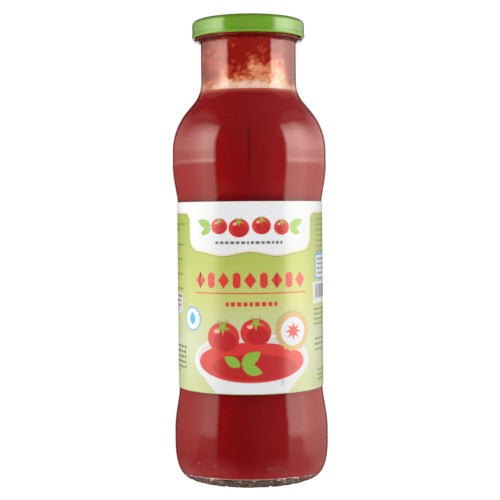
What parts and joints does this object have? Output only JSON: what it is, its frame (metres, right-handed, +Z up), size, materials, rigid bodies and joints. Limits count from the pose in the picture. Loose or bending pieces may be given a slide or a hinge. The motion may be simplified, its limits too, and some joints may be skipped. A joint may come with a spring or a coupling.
{
  "type": "glass bottle of tomato passata",
  "caption": "Tall clear glass bottle of tomato passata with a wide neck, a green twist-off metal cap and a wrap-round paper label.",
  "frame": {"origin": "middle of the ring that the bottle stands on", "axes": "+Z up along the bottle's axis, -Y out of the front of the label, +X to the right as seen from the front"},
  "size_m": [0.0772, 0.0772, 0.2276],
  "materials": {
    "glass": "clear and glossy",
    "passata": "smooth, opaque and wet against the glass",
    "cap_paint": "glossy lacquer on tinplate",
    "label_paper": "printed, satin coated"
  },
  "bodies": {
    "root": {"bottle": "glass", "passata": "passata", "cap": "cap_paint", "label": "label_paper"}
  },
  "joints": []
}
